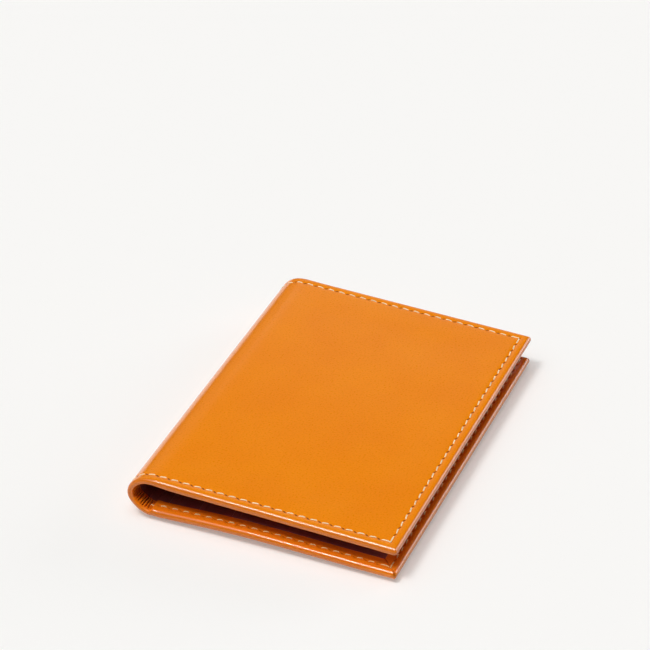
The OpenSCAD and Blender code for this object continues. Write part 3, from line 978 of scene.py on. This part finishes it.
class WALLET_OT_pockets(Operator):
    """Slip pocket and two card pockets in each cover"""

    bl_idname = "wallet.pockets"
    bl_label = "Pockets"

    def execute(self, context):
        sizes = context.scene.wallet_sizes
        material = new_material("brown_calf", brown_calf, context.scene.wallet_colours)
        end = COVER_L - POCKET_IN

        def slip_top(s, v):
            """Inner face of the slip pocket's panel."""
            return PANEL_TOP - pressed(s, v, sizes.slip_mouth) * ramp(HALF_H - abs(v), 4 * MM, 8 * MM)

        def lower_top(s, v):
            """Inner face of the lower card pocket."""
            raised = pocket_lift(s, v, sizes.lower_mouth, end, LOWER_OPEN)
            below = PANEL_TOP + LOWER_GAP + sizes.pocket_t * LOWER_NEST
            return below + raised - pressed(s, v, sizes.lower_mouth)

        def upper_top(s, v):
            """Inner face of the upper card pocket, which lies on the lower one."""
            raised = pocket_lift(s, v, sizes.upper_mouth, end, UPPER_OPEN)
            below = PANEL_TOP + sizes.pocket_t + pocket_lift(s, v, sizes.lower_mouth, end, LOWER_OPEN)
            return below + UPPER_GAP + raised - pressed(s, v, sizes.upper_mouth)

        wide = spaced(LAYER_IN - HALF_H, HALF_H - LAYER_IN, POCKET_STEP)
        narrow = spaced(POCKET_IN - HALF_H, HALF_H - POCKET_IN, POCKET_STEP, SIDE_FINE)
        rows = (("slip", sizes.slip_mouth, COVER_L - LAYER_IN, wide, slip_top, sizes.panel_t),
                ("lower_card", sizes.lower_mouth, end, narrow, lower_top, sizes.pocket_t),
                ("upper_card", sizes.upper_mouth, end, narrow, upper_top, sizes.pocket_t))
        for side in SIDES:
            for kind, mouth, last, v, top, thick in rows:
                s = np.concatenate([spaced(mouth, mouth + MOUTH_FINE, MOUTH_STEP)[:-1],
                                    spaced(mouth + MOUTH_FINE, last, POCKET_STEP, END_FINE)])
                piece = layer_piece(f"{side}_{kind}_leather", side, s, v, top, thick, material)
                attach(piece, f"{side}_half")
                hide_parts(f"{side}_{kind}_pocket", f"{side}_{kind}_pocket_sides")
        return {"FINISHED"}


THREAD_SIDES = 12
THREAD_RINGS = 13
THREAD_FLAT = 0.75
PLIES = 3
PLY_TURN = 1.5 * MM
PLY_RELIEF = 0.1
# Height of a stitch's back over the leather, and how far its ends dive into the needle holes.
PROUD = {"back": -0.22 * MM, "front": 0.03 * MM, "spine": -0.03 * MM, "hem": 0.12 * MM}
SINK = 0.42 * MM
CORNER_REACH = 0.55 * MM
HEM_REACH = 1.6
HEM_THREAD = 0.92


def stitch_tube(turn, size, thread_d, height):
    """One stitch in sheet coordinates: a plied thread that rises out of one needle hole and dives into the
    next. Gives points as offsets (along, across, up from the face) from the seam's point."""
    t = np.linspace(-1, 1, THREAD_RINGS)
    x = t * size / 2
    up = height * (1 - abs(t) ** 4) - SINK * abs(t) ** 6
    radius = thread_d / 2 * (1 - 0.3 * abs(t) ** 5)
    angle = np.linspace(0, 2 * math.pi, THREAD_SIDES, endpoint=False)
    lay = 1 + PLY_RELIEF * np.cos(PLIES * (angle - 2 * math.pi * x[:, None] / PLY_TURN))
    side = radius[:, None] * lay * np.cos(angle)
    rise = THREAD_FLAT * radius[:, None] * lay * np.sin(angle)
    run = x[:, None] + 0 * side
    ca, sa = math.cos(turn), math.sin(turn)
    return np.stack([run * ca - side * sa, run * sa + side * ca, up[:, None] + rise], -1)


def stitches(name, side, spots, size, thread_d, height, material):
    """One object of many stitches. Each spot is (s, v, direction of the seam, turn, reach beyond the usual
    length, depth of the face), and a face below the outer one looks inward."""
    per = THREAD_SIDES * THREAD_RINGS
    ring = np.arange(THREAD_SIDES)
    low = np.arange(0, per - THREAD_SIDES, THREAD_SIDES)[:, None]
    a, b = low + ring, low + np.roll(ring, -1)
    tube_faces = np.stack([a, b, b + THREAD_SIDES, a + THREAD_SIDES], -1).reshape(-1, 4).tolist()
    tube_faces += [ring[::-1].tolist(), (per - THREAD_SIDES + ring).tolist()]
    points = []
    faces = []
    for number, (s, v, along, turn, reach, face_w) in enumerate(spots):
        s = s + reach / 2 * math.cos(along)
        v = v + reach / 2 * math.sin(along)
        tube = stitch_tube(along + turn, size + abs(reach), thread_d, height)
        depth = face_w + tube[..., 2] if face_w > 0 else -tube[..., 2]
        points.append(place(side, s + tube[..., 0], v + tube[..., 1], depth).reshape(-1, 3))
        faces += [[number * per + n for n in face] for face in tube_faces]
    return closed_piece(name, points, faces, material)


class WALLET_OT_stitches(Operator):
    """Lockstitches along the turned edges, outside and inside, and across the spine"""

    bl_idname = "wallet.stitches"
    bl_label = "Stitches"

    def execute(self, context):
        sizes = context.scene.wallet_sizes
        colours = context.scene.wallet_colours
        thread = new_material("waxed_thread", waxed_thread, colours.thread)
        # The hem stitches' thread is yellower, partly painted warm light of the covers' shade.
        bobbin = new_material("waxed_bobbin_thread", waxed_thread, colours.bobbin)
        for side in SIDES:
            flat = self.flat_spots(side, sizes)
            outer = stitches(f"{side}_outer_stitches", side, [(*spot, 0.0) for spot in flat],
                             sizes.stitch_l, sizes.thread_d, PROUD[side], thread)
            on_hem = [(s, v, along, turn, HEM_REACH * reach, float(hem_thickness(side, sizes, s)))
                      for s, v, along, turn, reach in flat]
            inner = stitches(f"{side}_hem_stitches", side, on_hem, sizes.hem_stitch_l,
                             HEM_THREAD * sizes.thread_d, PROUD["hem"], bobbin)
            for piece, node in ((outer, "outer_thread"), (inner, "inner_thread")):
                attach(piece, f"{side}_half")
                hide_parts(f"{side}_{node}")
            self.spine(side, sizes, thread)
        return {"FINISHED"}

    def flat_spots(self, side, sizes):
        """Stitches along the three edges of a cover, with a needle hole at each corner of the seam."""
        spots = []
        count = round((COVER_L - sizes.seam_in) / PITCH - 0.5)
        for i in range(count + 1):
            edge = HALF_H - seam_inset(side, sizes, i * PITCH)
            slant, reach = (sizes.stitch_slant, 0.0) if i < count else (0.0, CORNER_REACH)
            spots.append((i * PITCH, -edge, 0.0, slant, reach))
            spots.append((i * PITCH, edge, 0.0, -slant, reach))
        inset = seam_inset(side, sizes, COVER_L)
        pitch = open_pitch(side, sizes)
        last = round((HALF_H - inset) / pitch - 0.5)
        for i in range(-last, last + 1):
            slant, reach = (sizes.stitch_slant, 0.0) if abs(i) < last else (0.0, CORNER_REACH * i / last)
            spots.append((COVER_L - inset, i * pitch, math.pi / 2, slant, reach))
        return spots

    def spine(self, side, sizes, material):
        """Stitches across each strip of the spine. The middle one belongs to the back cover's side."""
        edge = HALF_H - sizes.seam_in
        last = SIDE_BENDS if side == "back" else SIDE_BENDS - 1
        for k in range(1, last + 1):
            spots = [(-k * PITCH, sign * edge, 0.0, -sign * sizes.stitch_slant, 0.0, 0.0)
                     for sign in (-1, 1)]
            piece = stitches(f"{side}_spine_stitches_{k}", side, spots, sizes.stitch_l, sizes.thread_d,
                             PROUD["spine"], material)
            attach(piece, f"{side}_spine_{k}")
            if k < SIDE_BENDS:
                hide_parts(f"{side}_spine_thread_{k}")


OPERATORS = (WALLET_OT_stage, WALLET_OT_outer_leather, WALLET_OT_lining, WALLET_OT_pockets,
             WALLET_OT_stitches)


class WALLET_PT_sidebar(Panel):
    """Wallet's steps, sizes and colours in the sidebar"""

    bl_idname = "WALLET_PT_sidebar"
    bl_label = "Wallet"
    bl_space_type = "VIEW_3D"
    bl_region_type = "UI"
    bl_category = "Wallet"

    def draw(self, context):
        for operator in OPERATORS:
            self.layout.operator(operator.bl_idname)
        for group in (context.scene.wallet_sizes, context.scene.wallet_colours):
            box = self.layout.box()
            for name in group.bl_rna.properties.keys():
                if name not in ("rna_type", "name"):
                    box.prop(group, name)


CLASSES = (WalletSizes, WalletColours, *OPERATORS, WALLET_PT_sidebar)


def register():
    """Registers the classes and their settings."""
    for item in CLASSES:
        bpy.utils.register_class(item)
    bpy.types.Scene.wallet_sizes = PointerProperty(type=WalletSizes)
    bpy.types.Scene.wallet_colours = PointerProperty(type=WalletColours)


def unregister():
    """Removes the settings and the classes."""
    del bpy.types.Scene.wallet_colours
    del bpy.types.Scene.wallet_sizes
    for item in reversed(CLASSES):
        bpy.utils.unregister_class(item)


def main():
    """Builds the wallet and its stage."""
    register()
    for operator in OPERATORS:
        group, name = operator.bl_idname.split(".")
        getattr(getattr(bpy.ops, group), name)()


if __name__ == "__main__":
    main()
